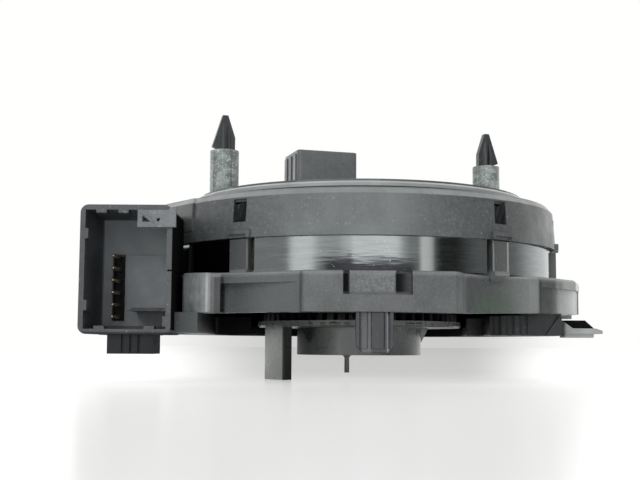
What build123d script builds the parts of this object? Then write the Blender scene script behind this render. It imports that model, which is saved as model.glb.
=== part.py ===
"""Steering clock spring: the rotating coupling that joins the column switches to the wheel.

The origin lies on the rotor axis, in the plane that the stator's underside seats on. +Z points
towards the steering wheel, +X to the right of someone who faces the plug socket. The rotor is drawn
as it stands at rest, turned by rest_turn from straight ahead.
"""
from build123d import *
import math
import os

# Heights of the stack, from the seat plane upwards
sensor_cover_height = 4.1
rim_height = 8.0
drum_showing = 6.9
skirt_height = 8.25
bevel_rise = 1.35
crown_rise = 0.3
flange_gap = 0.6
flange_thickness = 1.1

# Radii of the stack: one driving radius, with shares of it and steps from it
cover_radius = 45.2
skirt_draft = 0.6
bevel_run = 1.2
crown_share = 0.86062
mouth_share = 0.80973
flange_share = 0.85398
cover_wall = 0.9
drum_gap = 0.2
drum_wall = 1.0
drum_head = 0.9
rim_overhang = 0.7
rim_wall = 4.9
sleeve_share = 0.44248
sleeve_wall = 2.0
running_gap = 0.5
rest_turn = 17.6

# Shared small sizes
overrun = 1.0
fit_gap = 0.15
soft_edge = 0.4

# Base plate
floor_thickness = 1.5
rim_round = 0.8
facet_round = 0.9
socket_gap = 0.04
front_outline_shares = [
    (-0.842, -0.540), (-0.819, -0.565), (-0.819, -0.764), (-0.708, -0.803), (-0.648, -0.793),
    (-0.288, -0.996), (-0.279, -1.024), (-0.111, -1.027), (0.195, -1.009), (0.385, -0.973),
    (0.405, -0.951), (0.429, -0.885), (0.752, -0.650), (0.812, -0.635), (0.903, -0.544),
    (1.035, -0.376), (1.104, -0.155), (1.111, 0.040),
]
left_recess_shares = [
    (-0.650, -0.840), (-0.640, -0.752), (-0.560, -0.798), (-0.420, -0.896), (-0.296, -0.991),
    (-0.330, -1.030),
]
right_recess_shares = [
    (0.805, -0.690), (0.822, -0.580), (0.901, -0.508), (0.970, -0.426), (1.027, -0.336),
    (1.070, -0.238), (1.098, -0.136), (1.160, -0.136), (1.160, -0.690),
]
rear_pocket_azimuths = (62.0, 90.0, 118.0)
rear_pocket_width = 13.0
rear_pocket_depth = 1.4
rear_arc_azimuth = 20.0
lip_height = 2.2
ledge_height = 3.3
centre_cut_shares = (-0.1051, 0.1914)
centre_block_shares = (-0.0763, 0.1228)
centre_block_setback = 2.3
centre_slot_depth = 4.2
underside_start_share = 0.4425
underside_slope_share = 0.028
floor_ring_share = 0.6106
floor_ring_wall = 1.2
floor_ring_depth = 4.2
floor_rib_width = 1.0
floor_rib_azimuths = (-150.0, -120.0, -90.0, -60.0, -30.0, 0.0, 180.0)

# Latch arms that rise from the base plate into the cover
arm_azimuths = (-124.5, -52.5, -12.0, 35.0, 95.0, 150.0)
arm_width = 4.2
arm_thickness = 1.0
arm_pad = 1.1
arm_pad_clearance = 0.35
arm_slot_clearance = 1.1
arm_pocket_share = 0.7
hook_reach = 0.7
hook_shares = [(-0.38, 0.09), (0.02, 0.09), (0.38, 0.56), (0.38, 0.84), (0.08, 0.84)]

# Cover ring
window_width = 3.3
window_height = 4.7
window_drop = 0.35
exit_azimuth = -143.0
exit_end_azimuth = 172.0
exit_length_share = 0.3097
exit_lift = 2.4
exit_bevel = 1.3
frame_width = 6.2
frame_height = 1.5
frame_bar = 0.8
frame_relief = 0.6
roof_thickness = 1.1

# Plug socket, seen from the front; its own shares run from its left edge and from its underside
socket_right_share = 0.84292
socket_rear_share = 0.49336
chamber_right_share = 0.9646
socket_width = 18.0
socket_height = 25.3
socket_low = -0.4
socket_depth = 19.0
socket_wall = 1.0
socket_back = 1.2
socket_corner = 1.6
chamber_headroom = 3.2
skirt_clearance = 0.3
key_relief = 0.6
key_depth = 3.0
key_width = 2.0
top_key_shares = (0.228, 0.467)
bottom_key_shares = (0.228, 0.767)
left_key_shares = (0.775, 0.221)
right_key_shares = (0.099,)
slot_side_margin = 1.15
slot_end_margin = 0.85
panel_across_shares = (0.328, 0.800)
panel_up_shares = (0.2095, 0.664)
panel_relief = 0.5
shelf_across_share = 0.450
shelf_up_share = 0.190
shelf_thickness = 0.7
shelf_reach = 7.0
seam_up_share = 0.490
seam_width = 0.35
seam_depth = 0.8
foot_across_shares = (0.311, 0.811)
foot_drop = 3.8
foot_front_setback = 1.0
foot_length = 9.0
foot_groove_shares = (0.478, 0.567, 0.656)
foot_groove_width = 0.5
foot_groove_depth = 0.5

# Latch plate across the socket's top corner
plate_left_share = 0.628
plate_overhang = 0.8
plate_up_shares = (0.822, 0.9565)
plate_thickness = 0.8
plate_hole_shares = [(0.13, 0.30), (0.13, 0.66), (0.34, 0.30)]
plate_slot_shares = [(0.50, 0.34), (0.50, 0.52), (0.60, 0.52), (0.56, 0.34)]
plate_bar = 0.4
plate_bar_relief = 0.35
plate_bar_shares = [(0.08, 0.97), (0.42, 0.28)]
plate_ear = 1.4

# Socket terminals
pin_count = 6
pin_pitch = 2.5
pin_size = 0.64
pin_across_share = 0.2444
pin_low_share = 0.1462
pin_reach = 7.5
pin_tail = 5.0
pin_point = 0.16
pin_fit = 0.015

# Front latch, a U-shaped tab under the rim
front_latch_shares = (-0.0509, 0.1106)
front_latch_drop = 7.9
front_latch_thickness = 1.6
front_latch_setback = 0.7
front_latch_corner = 1.3
front_latch_border = 0.8
front_latch_relief = 0.5
front_latch_web_places_share = (0.36, 0.80)
front_latch_web = 0.7

# Sensor cover, the tray under the rear half
tray_inset = 2.0
tray_floor = 1.2
tray_wall = 1.2
tray_front = 0.5
notch_clearance = 1.6
notch_wall_height = 2.0
tray_panel_azimuths = ((10.0, 46.0), (50.0, 84.0), (96.0, 130.0), (134.0, 170.0))
tray_panel_margin = 3.6
tray_panel_depth = 0.4
snap_azimuths = (40.0, 75.0, 105.0, 140.0)
snap_width = 5.0
snap_reach = 0.9
snap_root = 0.5
leg_width = 4.6
leg_front_share = 0.8186
flute_left_share = 0.635
flute_right_share = 0.8982
flute_front_share = 0.2655
flute_pitch = 3.0
flute_radius = 1.6
flute_depth = 0.35
strut_width = 0.6
strut_foot_inset = 3.7
strut_head_inset = 0.8
lug_left_share = 0.98673
lug_length = 9.2
lug_shoulder_share = 0.717
lug_near_shares = (0.283, 0.837)
lug_foot_shares = (0.087, 0.804)
lug_width = 6.0
lug_wall = 0.8
lug_high = 3.6
lug_low = 0.5
lug_tip_height = 1.3
lug_near_height = 1.7
lug_foot_drop = 0.85

# Sensor gears: the ring gear on the rotor turns two pinions that carry magnets
ring_pitch_share = 0.48673
ring_teeth = 55
pinion_teeth = (22, 20)
pinion_azimuths = (62.0, 118.0)
pressure_angle = 20.0
addendum_share = 0.9
dedendum_share = 1.15
backlash = 0.16
gear_thickness = 1.8
gear_seat = 0.05
pinion_thickness = 2.0
pinion_clearance = 0.3
pinion_hub_share = 0.477
pinion_hub_height = 1.9
pinion_pin_radius = 1.5
pinion_fit = 0.05
pinion_shoulder_step = 1.3
magnet_wall = 1.2
magnet_fit = 0.02
magnet_thickness = 1.4
magnet_sink = 0.9

# Sensor board
board_thickness = 1.6
board_inset = 4.3
board_margin = 0.4
board_start_azimuth = 14.0
board_end_azimuth = 166.0
chip_size = 5.0
chip_height = 0.7
small_chip_azimuths = (26.0, 40.0, 90.0, 140.0, 154.0)
small_chip_size = 2.4

# Liners, cable and its end blocks
liner_thickness = 0.4
liner_inner_gap = 0.6
cable_thickness = 0.4
cable_height = 12.6
cable_turns = 6
cable_margin = 0.6
cable_steps = 24
cable_lift = 0.3
inner_block_length = 12.0
inner_block_depth = 3.0
inner_block_height = 12.4
outer_block_length = 11.0
outer_block_depth = 2.6
outer_block_azimuth = 197.0

# Rotor's top: a collar, an outer bead and ribs between them
collar_width = 2.4
collar_height = 1.5
bead_inset = 1.0
bead_width = 0.8
bead_height = 0.5
bead_clearance = 2.2
top_rib_azimuths = (48.0, 74.0, 144.0, 168.0, 222.0, 248.0, 274.0, 300.0, 326.0, 352.0)
top_rib_width = 1.0

# Drive posts
post_left_share = 0.72124
post_right_share = 0.73451
sleeve_height = 11.0
post_sleeve_radius = 3.26
post_core_radius = 1.7
post_groove_azimuths = (-38.0, 38.0, 142.0, 218.0)
post_groove_width = 0.7
post_groove_depth = 0.3
tip_gap = 0.9
tip_height = 7.3
tip_top_half = 0.6
tip_body_half = 2.26
tip_shoulder = 3.1
barb_half = 2.95
barb_rise = 0.5
tip_thickness = 2.9
tip_web = 1.5
tip_groove = 0.75
tip_groove_depth = 0.7
tip_root_length = 6.0

# Wheel-side plug block on the rotor
plug_place_share = 0.62389
plug_azimuth = 109.0
plug_width = 16.1
plug_depth = 12.7
plug_height = 16.85
plug_wall = 1.1
plug_cavity = 11.5
plug_corner = 1.0
plug_top_corner = 0.3
plug_base_height = 1.0
plug_base_reach = 0.5
plug_band_width = 2.0
plug_band_relief = 0.35
plug_band_pitch = 4.0
plug_pin_rows = 2
plug_pin_columns = 4
plug_pin_pitch = 2.5
plug_pin_size = 0.64
plug_pin_length = 7.0

# Cancelling cam under the rotor
cam_share = 0.52212
cam_lift = 1.7
cam_thickness = 1.3
cam_rim = 0.35
hub_share = 0.31858
hub_wall = 2.4
hub_drop = 6.2
spigot_height = 5.0
spigot_wall = 1.4
tab_start_azimuth = 205.0
tab_end_azimuth = 225.0
tab_wall = 2.0
tab_drop = 11.6
tab_gusset = 2.4
gusset_count = 5
gusset_azimuth = 217.0
gusset_width = 0.9
gusset_reach = 1.8
gusset_height = 3.5
nib_radius = 0.55
nib_length = 3.8
nib_azimuth = 256.3
nib_root = 0.45

# Levels worked out from the stack
rim_low = sensor_cover_height
plate_top = rim_low + rim_height
floor_low = plate_top - floor_thickness
skirt_low = plate_top + drum_showing
shoulder = skirt_low + skirt_height
bevel_top = shoulder + bevel_rise
cover_top = bevel_top + crown_rise
flange_low = cover_top + flange_gap
flange_top = flange_low + flange_thickness
roof_low = bevel_top - roof_thickness
drum_top = shoulder - roof_thickness
cam_top = cam_lift + cam_thickness
hub_low = cam_lift - hub_drop
cable_low = plate_top + liner_thickness + cable_lift
pinion_lift = cam_top + pinion_clearance

# Radii worked out from the cover's
shoulder_radius = cover_radius - skirt_draft
bevel_outer_radius = shoulder_radius - bevel_run
bevel_inner_radius = cover_radius * crown_share
cover_mouth_radius = cover_radius * mouth_share
flange_radius = cover_radius * flange_share
cover_inner_radius = cover_radius - cover_wall
drum_radius = cover_inner_radius - drum_gap
drum_inner_radius = drum_radius - drum_wall
rear_rim_radius = cover_radius + rim_overhang
rim_pocket_radius = rear_rim_radius - rim_wall
sleeve_radius = cover_radius * sleeve_share
sleeve_bore_radius = sleeve_radius - sleeve_wall
hole_radius = sleeve_radius + running_gap
floor_ring_radius = cover_radius * floor_ring_share
cam_radius = cover_radius * cam_share
hub_radius = cover_radius * hub_share
hub_bore_radius = hub_radius - hub_wall
tray_radius = cover_radius - tray_inset
notch_radius = cam_radius + notch_clearance
ring_pitch_radius = cover_radius * ring_pitch_share
tooth_module = 2 * ring_pitch_radius / ring_teeth
pinion_shoulder_radius = pinion_pin_radius + pinion_shoulder_step
board_outer_radius = rim_pocket_radius - board_margin
board_inner_radius = hole_radius + board_inset
cable_inner_radius = sleeve_radius + inner_block_depth + cable_margin
cable_outer_radius = drum_inner_radius - outer_block_depth - cable_margin

# Places of the socket and of what stands at the tray's ends
socket_right = cover_radius * socket_right_share
socket_left = socket_right + socket_width
socket_high = socket_low + socket_height
socket_rear = -cover_radius * socket_rear_share
socket_floor = socket_rear - socket_back
socket_front = socket_floor - socket_depth
chamber_right = cover_radius * chamber_right_share
chamber_rear = -math.sqrt(rear_rim_radius ** 2 - chamber_right ** 2)
leg_right = socket_right - leg_width
leg_front = -cover_radius * leg_front_share
flute_left = cover_radius * flute_left_share
flute_right = cover_radius * flute_right_share
flute_front = -cover_radius * flute_front_share
lug_left = cover_radius * lug_left_share

ON_FLOOR = (Align.CENTER, Align.CENTER, Align.MIN)
FROM_CORNER = (Align.MIN, Align.MIN, Align.MIN)


def around(radius, azimuth):
    """The point at a radius and an azimuth in degrees, in plan."""
    angle = math.radians(azimuth)
    return radius * math.cos(angle), radius * math.sin(angle)


def cylinder(radius, low, high):
    return Pos(0, 0, low) * Cylinder(radius, high - low, align=ON_FLOOR)


def tube(outer, inner, low, high):
    return cylinder(outer, low, high) - cylinder(inner, low - overrun, high + overrun)


def block(x, y, z):
    """A box from a (low, high) pair on each axis."""
    corner = Pos(x[0], y[0], z[0])
    return corner * Box(x[1] - x[0], y[1] - y[0], z[1] - z[0], align=FROM_CORNER)


def prism(points, low, high):
    """An upright prism over an outline given in plan."""
    face = make_face(Polyline(*points, close=True))
    return Pos(0, 0, low) * extrude(face, amount=high - low, dir=(0, 0, 1))


def upright_plate(profile, near, far):
    """A plate from an (X, Z) outline, between two places along Y."""
    face = make_face(Polyline(*[(x, near, z) for x, z in profile], close=True))
    return extrude(face, amount=far - near, dir=(0, 1, 0))


def sector(outer, inner, start, end, low, high):
    """The stretch of a ring between two azimuths."""
    middle = (start + end) / 2
    edges = [
        ThreePointArc(around(outer, start), around(outer, middle), around(outer, end)),
        Line(around(outer, end), around(inner, end)),
        ThreePointArc(around(inner, end), around(inner, middle), around(inner, start)),
        Line(around(inner, start), around(outer, start)),
    ]
    return Pos(0, 0, low) * extrude(make_face(edges), amount=high - low, dir=(0, 0, 1))


def turned(points):
    """A body of revolution about Z from (radius, height) points."""
    profile = make_face(Polyline(*[(radius, 0, height) for radius, height in points], close=True))
    return revolve(profile, Axis.Z)


def placed(shape, azimuth, radius=0.0, height=0.0):
    """The shape moved out along an azimuth and turned with it."""
    return Rot(0, 0, azimuth) * Pos(radius, 0, height) * shape


def radial_block(inner, outer, width, low, high, azimuth):
    """A box that spans two radii, centred on an azimuth."""
    return placed(block((inner, outer), (-width / 2, width / 2), (low, high)), azimuth)


def from_shares(shares):
    return [(x * cover_radius, y * cover_radius) for x, y in shares]


def joined(shapes):
    """All the shapes as one compound or solid."""
    return Compound(children=list(shapes))


def base_outline():
    """The rim in plan: straight facets in front and an arc behind."""
    right_end = around(rear_rim_radius, rear_arc_azimuth)
    points = [
        (-chamber_right, chamber_rear),
        (-chamber_right, socket_rear),
        (-socket_right + socket_gap, socket_rear),
    ]
    points += from_shares(front_outline_shares)
    points.append(right_end)
    straight = Polyline(*points)
    rear = ThreePointArc(right_end, (0, rear_rim_radius), points[0])
    outline = make_face([*straight.edges(), rear])
    facets = [corner for corner in outline.vertices() if corner.X > from_shares(front_outline_shares)[0][0]]
    return fillet(facets, facet_round)


def rim_details():
    """What is cut from the rim: recesses under its lip, and two slots and a ledge in front."""
    lip_low = plate_top - lip_height
    cuts = [
        prism(from_shares(left_recess_shares), rim_low - overrun, lip_low),
        prism(from_shares(right_recess_shares), rim_low - overrun, lip_low),
    ]
    front_y = rim_front_y()
    upper = (rim_low + ledge_height, plate_top + overrun)
    centre = [share * cover_radius for share in centre_cut_shares]
    middle = [share * cover_radius for share in centre_block_shares]
    cuts.append(block(centre, (front_y - overrun, front_y + centre_block_setback), upper))
    for slot in ((centre[0], middle[0]), (middle[1], centre[1])):
        cuts.append(block(slot, (front_y - overrun, front_y + centre_slot_depth), upper))
    for azimuth in rear_pocket_azimuths:
        cuts.append(radial_block(
            rear_rim_radius - rear_pocket_depth, rear_rim_radius + overrun, rear_pocket_width,
            rim_low - overrun, lip_low, azimuth))
    cuts.append(underside_wedge())
    return cuts


def rim_front_y():
    """The foremost line of the rim."""
    return min(y for _, y in from_shares(front_outline_shares))


def underside(x):
    """The height of the rim's underside, which rises towards the right end."""
    return rim_low + max(x - cover_radius * underside_start_share, 0) * underside_slope_share


def underside_wedge():
    """What is cut away under the front half of the rim by that rise."""
    start = cover_radius * underside_start_share
    reach = max(x for x, _ in from_shares(front_outline_shares)) + overrun
    profile = [
        (start, rim_low),
        (reach, underside(reach)),
        (reach, rim_low - overrun),
        (start, rim_low - overrun),
    ]
    return upright_plate(profile, rim_front_y() - overrun, tray_front + tray_wall)


def latch_arm(azimuth):
    """An arm behind the skirt, with a pad below it and a pocket and hook behind the window."""
    outer = drum_radius
    window_low = shoulder - window_drop - window_height
    pad_high = skirt_low - arm_pad_clearance
    arm = radial_block(outer - arm_thickness, outer, arm_width, floor_low, drum_top, azimuth)
    arm += radial_block(
        outer - arm_thickness, outer + arm_pad, arm_width, plate_top - soft_edge, pad_high, azimuth)
    arm -= radial_block(
        outer - arm_thickness * arm_pocket_share, outer + overrun, window_width,
        window_low, window_low + window_height, azimuth)
    profile = [
        (outer - arm_thickness, y * window_width, window_low + z * window_height) for y, z in hook_shares
    ]
    hook_face = make_face(Polyline(*profile, close=True))
    hook = extrude(hook_face, amount=arm_thickness + hook_reach, dir=(1, 0, 0))
    return arm + placed(hook, azimuth)


def beside_socket(point):
    """Whether a point of the rim lies against the socket or its chamber."""
    return point.X < -socket_right + 2 * socket_gap and point.Y < chamber_rear + socket_gap


def base_plate():
    outline = base_outline()
    plate = Pos(0, 0, rim_low) * extrude(outline, amount=rim_height, dir=(0, 0, 1))
    top_edges = plate.faces().sort_by(Axis.Z)[-1].outer_wire().edges()
    plate = fillet([edge for edge in top_edges if not beside_socket(edge.center())], rim_round)
    plate -= cylinder(rim_pocket_radius, rim_low - overrun, floor_low)
    plate -= cylinder(hole_radius, rim_low, plate_top + overrun)
    for cut in rim_details():
        plate -= cut
    ring_low = floor_low - floor_ring_depth
    plate += tube(floor_ring_radius, floor_ring_radius - floor_ring_wall, ring_low, floor_low) & block(
        (-rear_rim_radius, rear_rim_radius), (-rear_rim_radius, 0), (ring_low, floor_low))
    for azimuth in floor_rib_azimuths:
        plate += radial_block(
            floor_ring_radius - floor_ring_wall / 2, rim_pocket_radius + soft_edge, floor_rib_width,
            ring_low + floor_ring_wall, floor_low, azimuth)
    for azimuth in arm_azimuths:
        plate += latch_arm(azimuth)
    return plate


def cable_drum():
    """The smooth wall round the wound cable, slotted for the latch arms and tied by a head ring."""
    drum = tube(drum_radius, drum_inner_radius, plate_top, drum_top)
    drum += tube(drum_inner_radius + fit_gap, drum_inner_radius - drum_head, drum_top - drum_head, drum_top)
    for azimuth in arm_azimuths:
        drum -= radial_block(
            drum_inner_radius - fit_gap, drum_radius + overrun, arm_width + 2 * arm_slot_clearance,
            plate_top - overrun, drum_top + overrun, azimuth)
    return drum


def cover_ring():
    inner = cover_inner_radius
    ring = turned([
        (cover_radius, skirt_low),
        (shoulder_radius, shoulder),
        (bevel_outer_radius, bevel_top),
        (bevel_inner_radius, cover_top),
        (cover_mouth_radius, cover_top),
        (cover_mouth_radius, roof_low),
        (bevel_outer_radius - roof_thickness, roof_low),
        (inner, drum_top),
        (inner, skirt_low),
    ])
    ring += cable_exit()
    window_low = shoulder - window_drop - window_height
    window_high = shoulder - window_drop
    reach = cover_radius + overrun
    for azimuth in arm_azimuths:
        ring += latch_frame(azimuth)
        ring -= radial_block(inner - soft_edge, reach, window_width, window_low, window_high, azimuth)
    return ring


def exit_outline(margin=0.0):
    """The corner in plan where the skirt runs off straight towards the socket."""
    start = around(cover_radius, exit_azimuth)
    length = cover_radius * exit_length_share
    angle = math.radians(exit_azimuth)
    corner = (
        start[0] + length * math.sin(angle) - margin,
        start[1] - length * math.cos(angle) - margin,
    )
    end = around(cover_radius, exit_end_azimuth)
    return [(start[0] - margin, start[1] - margin), corner, (end[0] - margin, end[1]), (0, 0)]


def cable_exit():
    """The corner of the cover over the cable's way out."""
    corner = prism(exit_outline(), skirt_low + exit_lift, bevel_top)
    top = corner.faces().sort_by(Axis.Z)[-1].outer_wire().edges()
    corner = chamfer(top, exit_bevel)
    corner -= cylinder(cover_radius - cover_wall / 2, skirt_low - overrun, shoulder)
    return corner - cylinder(bevel_outer_radius, skirt_low - overrun, cover_top)


def latch_frame(azimuth):
    """The raised inverted U at the skirt's edge above a latch arm."""
    inner = cover_radius - cover_wall / 2
    outer = cover_radius + frame_relief
    high = skirt_low + frame_height
    frame = radial_block(inner, outer, frame_width, skirt_low, high, azimuth)
    mouth = frame_width - 2 * frame_bar
    return frame - radial_block(
        cover_radius, outer + overrun, mouth, skirt_low - overrun, high - frame_bar, azimuth)


def across(share):
    """X at a share of the socket's width, from its left edge."""
    return -socket_left + share * socket_width


def up(share):
    """Z at a share of the socket's height, from its underside."""
    return socket_low + share * socket_height


def socket_shell():
    """The open box that the harness plug enters."""
    levels = (socket_low, socket_high)
    shell = block((-socket_left, -socket_right), (socket_front, socket_rear), levels)
    shell = fillet(shell.edges().filter_by(Axis.Y), socket_corner)
    inside = block(
        (-socket_left + socket_wall, -socket_right - socket_wall),
        (socket_front - overrun, socket_floor),
        (socket_low + socket_wall, socket_high - socket_wall))
    return shell - inside


def chamber_high():
    return pin_heights()[-1] + chamber_headroom


def socket_chamber():
    """The box behind the socket that holds the terminal block, open at the rear."""
    levels = (socket_low, chamber_high())
    chamber = block((-socket_left, -chamber_right), (socket_rear, chamber_rear), levels)
    cavity = block(
        (-socket_left + socket_wall, -chamber_right - socket_wall),
        (socket_rear, chamber_rear + overrun),
        (socket_low + socket_wall, chamber_high() - socket_wall))
    return chamber - cavity


def socket_keys():
    """Short coding ribs just inside the socket's mouth."""
    mouth = (socket_front, socket_front + key_depth)
    left = -socket_left + socket_wall
    right = -socket_right - socket_wall
    top = (socket_high - socket_wall - key_relief, socket_high - socket_wall + fit_gap)
    bottom = (socket_low + socket_wall - fit_gap, socket_low + socket_wall + key_relief)
    keys = [block(key_span(across(share)), mouth, top) for share in top_key_shares]
    keys += [block(key_span(across(share)), mouth, bottom) for share in bottom_key_shares]
    left_span = (left - fit_gap, left + key_relief)
    right_span = (right - key_relief, right + fit_gap)
    keys += [block(left_span, mouth, key_span(up(share))) for share in left_key_shares]
    keys += [block(right_span, mouth, key_span(up(share))) for share in right_key_shares]
    return keys


def key_span(place):
    return place - key_width / 2, place + key_width / 2


def socket_foot():
    """The grooved block under the socket."""
    front = socket_front + foot_front_setback
    low = socket_low - foot_drop
    span = [across(share) for share in foot_across_shares]
    foot = block(span, (front, front + foot_length), (low, socket_low))
    for share in foot_groove_shares:
        groove = (across(share) - foot_groove_width / 2, across(share) + foot_groove_width / 2)
        foot -= block(groove, (front - overrun, front + foot_groove_depth), (low - overrun, socket_low))
    return foot


def connector_housing():
    housing = socket_shell() + socket_chamber() + socket_foot()
    for key in socket_keys():
        housing += key
    housing += block(
        [across(share) for share in panel_across_shares], (socket_floor - panel_relief, socket_floor),
        [up(share) for share in panel_up_shares])
    housing += block(
        (across(shelf_across_share), -socket_right - socket_wall), (socket_floor - shelf_reach, socket_floor),
        (up(shelf_up_share), up(shelf_up_share) + shelf_thickness))
    pins = pin_heights()
    slot = (across(pin_across_share) - slot_side_margin, across(pin_across_share) + slot_side_margin)
    slot_levels = (pins[0] - slot_end_margin, pins[-1] + slot_end_margin)
    housing -= block(slot, (socket_floor - overrun, socket_rear + overrun), slot_levels)
    housing -= block(
        (-socket_right - seam_depth, -socket_right + overrun),
        (socket_front - overrun, socket_floor),
        (up(seam_up_share) - seam_width / 2, up(seam_up_share) + seam_width / 2))
    housing -= cylinder(cover_radius + skirt_clearance, plate_top, socket_high + overrun)
    low = skirt_low + exit_lift - skirt_clearance
    return housing - prism(exit_outline(skirt_clearance), low, socket_high + overrun)


def pin_heights():
    return [up(pin_low_share) + pin_pitch * index for index in range(pin_count)]


def terminal_pin(height, grow=0.0):
    """One square terminal lying along Y, pointed at the plug's end."""
    half = pin_size / 2 + grow
    centre = across(pin_across_share)
    along = (socket_floor - pin_reach, socket_rear + pin_tail)
    pin = block((centre - half, centre + half), along, (height - half, height + half))
    return pin if grow else chamfer(pin.faces().sort_by(Axis.Y)[0].edges(), pin_point)


def socket_terminals():
    return joined([terminal_pin(height) for height in pin_heights()])


def terminal_block():
    body = block(
        (-socket_left + socket_wall + fit_gap, -chamber_right - socket_wall - fit_gap),
        (socket_rear, chamber_rear),
        (socket_low + socket_wall + fit_gap, chamber_high() - socket_wall - fit_gap))
    for height in pin_heights():
        body -= terminal_pin(height, grow=pin_fit)
    return body


def socket_latch():
    """A flat plate with a barred window that bridges the socket's top right corner."""
    left = across(plate_left_share)
    right = -socket_right + plate_overhang
    low, high = [up(share) for share in plate_up_shares]
    front = socket_front - plate_thickness

    def face_point(share):
        return left + share[0] * (right - left), low + share[1] * (high - low)

    plate = block((left, right), (front, socket_front), (low, high))
    for shares in (plate_hole_shares, plate_slot_shares):
        plate -= upright_plate(map(face_point, shares), front - overrun, socket_front + overrun)
    start, end = map(face_point, plate_bar_shares)
    length = math.dist(start, end)
    lean = math.degrees(math.atan2(end[1] - start[1], end[0] - start[0]))
    depth = plate_thickness + plate_bar_relief
    middle = ((start[0] + end[0]) / 2, socket_front - depth / 2, (start[1] + end[1]) / 2)
    bar = Pos(*middle) * Rot(0, -lean, 0) * Box(length, depth, plate_bar)
    bar &= block((left, right), (socket_front - depth, socket_front), (low, high))
    ear = block((right - plate_ear, right), (front, socket_front), (high, high + plate_bar))
    return plate + bar + ear


def front_latch():
    """The U-shaped tab that hangs from the rim, with a raised border and two webs."""
    front_y = rim_front_y() + front_latch_setback
    span = [share * cover_radius for share in front_latch_shares]
    low = rim_low - front_latch_drop
    tab = block(span, (front_y, front_y + front_latch_thickness), (low, rim_low))
    corners = tab.edges().filter_by(Axis.Y).sort_by(Axis.Z)[:2]
    tab = chamfer(corners, front_latch_corner)
    panel = block(
        (span[0] + front_latch_border, span[1] - front_latch_border),
        (front_y - overrun, front_y + front_latch_relief),
        (low + front_latch_border, rim_low + overrun))
    tab -= panel
    for share in front_latch_web_places_share:
        x = span[0] + share * (span[1] - span[0])
        tab += block(
            (x - front_latch_web / 2, x + front_latch_web / 2),
            (front_y, front_y + front_latch_thickness), (low + front_latch_border / 2, rim_low))
    return tab


def side_lug():
    """The scoop at the right: a tall wall behind, a low wall in front and a foot below."""
    near = flute_front
    far = near + lug_width
    lug_reach = lug_left + lug_length
    lug_shoulder = lug_left + lug_length * lug_shoulder_share
    near_span = [lug_left + lug_length * share for share in lug_near_shares]
    foot_span = [lug_left + lug_length * share for share in lug_foot_shares]
    tall = [
        (lug_left, lug_low),
        (lug_left, lug_high),
        (lug_shoulder, lug_high),
        (lug_reach, lug_tip_height),
        (lug_reach, lug_low),
    ]
    above = lug_high + overrun
    open_front = [
        (lug_left, lug_high),
        (near_span[0], lug_near_height),
        (near_span[1], lug_near_height),
        (lug_reach + overrun, lug_low + lug_wall / 2),
        (lug_reach + overrun, above),
        (lug_left, above),
    ]
    scoop = upright_plate(tall, near, far) - upright_plate(open_front, near - overrun, far - lug_wall)
    scoop -= block(near_span, (near + lug_wall, far - lug_wall), (lug_low + lug_wall, above))
    foot = block(foot_span, (near + lug_wall, far - lug_wall), (lug_low - lug_foot_drop, lug_low))
    return scoop + foot


def fluted_wall():
    """The block at the tray's right, with upright flutes and a slanted strut on its face."""
    outline = [
        (flute_left, 0),
        (flute_left, underside(flute_left)),
        (lug_left, underside(lug_left)),
        (lug_left, 0),
    ]
    wall = upright_plate(outline, flute_front, tray_front + tray_wall)
    count = int((flute_right - flute_left) / flute_pitch)
    for index in range(count):
        x = flute_left + flute_pitch * (index + 0.5)
        wall -= Pos(x, flute_front - flute_radius + flute_depth, 0) * cylinder(
            flute_radius, -overrun, plate_top)
    strut = [
        (lug_left - strut_foot_inset, 0),
        (lug_left - strut_head_inset, rim_low),
        (lug_left, rim_low),
        (lug_left, 0),
    ]
    return wall + upright_plate(strut, flute_front - strut_width, flute_front)


def tray_boss(azimuth, teeth):
    """The shoulder and pin that a pinion turns on."""
    distance = ring_pitch_radius + tooth_module * teeth / 2
    boss = cylinder(pinion_shoulder_radius, tray_floor - soft_edge, pinion_lift)
    boss += cylinder(pinion_pin_radius, tray_floor, pinion_lift + pinion_thickness + pinion_hub_height / 2)
    return placed(boss, azimuth, distance)


def sensor_cover():
    rear = block((-cover_radius, cover_radius), (tray_front, cover_radius), (0, rim_low))
    tray = cylinder(tray_radius, 0, rim_low) & rear
    tray -= cylinder(notch_radius, -overrun, rim_low + overrun)
    above = rim_low + overrun
    hollow = cylinder(tray_radius - tray_wall, tray_floor, above)
    reach = (-cover_radius, cover_radius)
    hollow &= block(reach, (tray_front + tray_wall, cover_radius), (tray_floor, above))
    hollow -= cylinder(notch_radius + tray_wall, tray_floor, notch_wall_height)
    tray -= hollow
    for azimuth, teeth in zip(pinion_azimuths, pinion_teeth):
        tray += tray_boss(azimuth, teeth)
    for start, end in tray_panel_azimuths:
        tray -= sector(
            tray_radius - tray_panel_margin, notch_radius + tray_panel_margin, start, end,
            -overrun, tray_panel_depth)
    for azimuth in snap_azimuths:
        tray += radial_block(
            tray_radius - snap_root, tray_radius + snap_reach, snap_width,
            tray_floor, rim_low - snap_root, azimuth)
    leg = block((-socket_right, -leg_right), (leg_front, tray_front + tray_wall), (0, rim_low))
    return tray + leg + fluted_wall() + side_lug()


def involute(angle):
    return math.tan(angle) - angle


def tooth_half_angle(radius, teeth):
    """Half the angle that a tooth takes up at a radius."""
    pitch_radius = tooth_module * teeth / 2
    pressure = math.radians(pressure_angle)
    base_radius = pitch_radius * math.cos(pressure)
    at_radius = math.acos(min(base_radius / radius, 1.0))
    slack = backlash / 2 / pitch_radius
    return math.pi / (2 * teeth) - slack + involute(pressure) - involute(at_radius)


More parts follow.
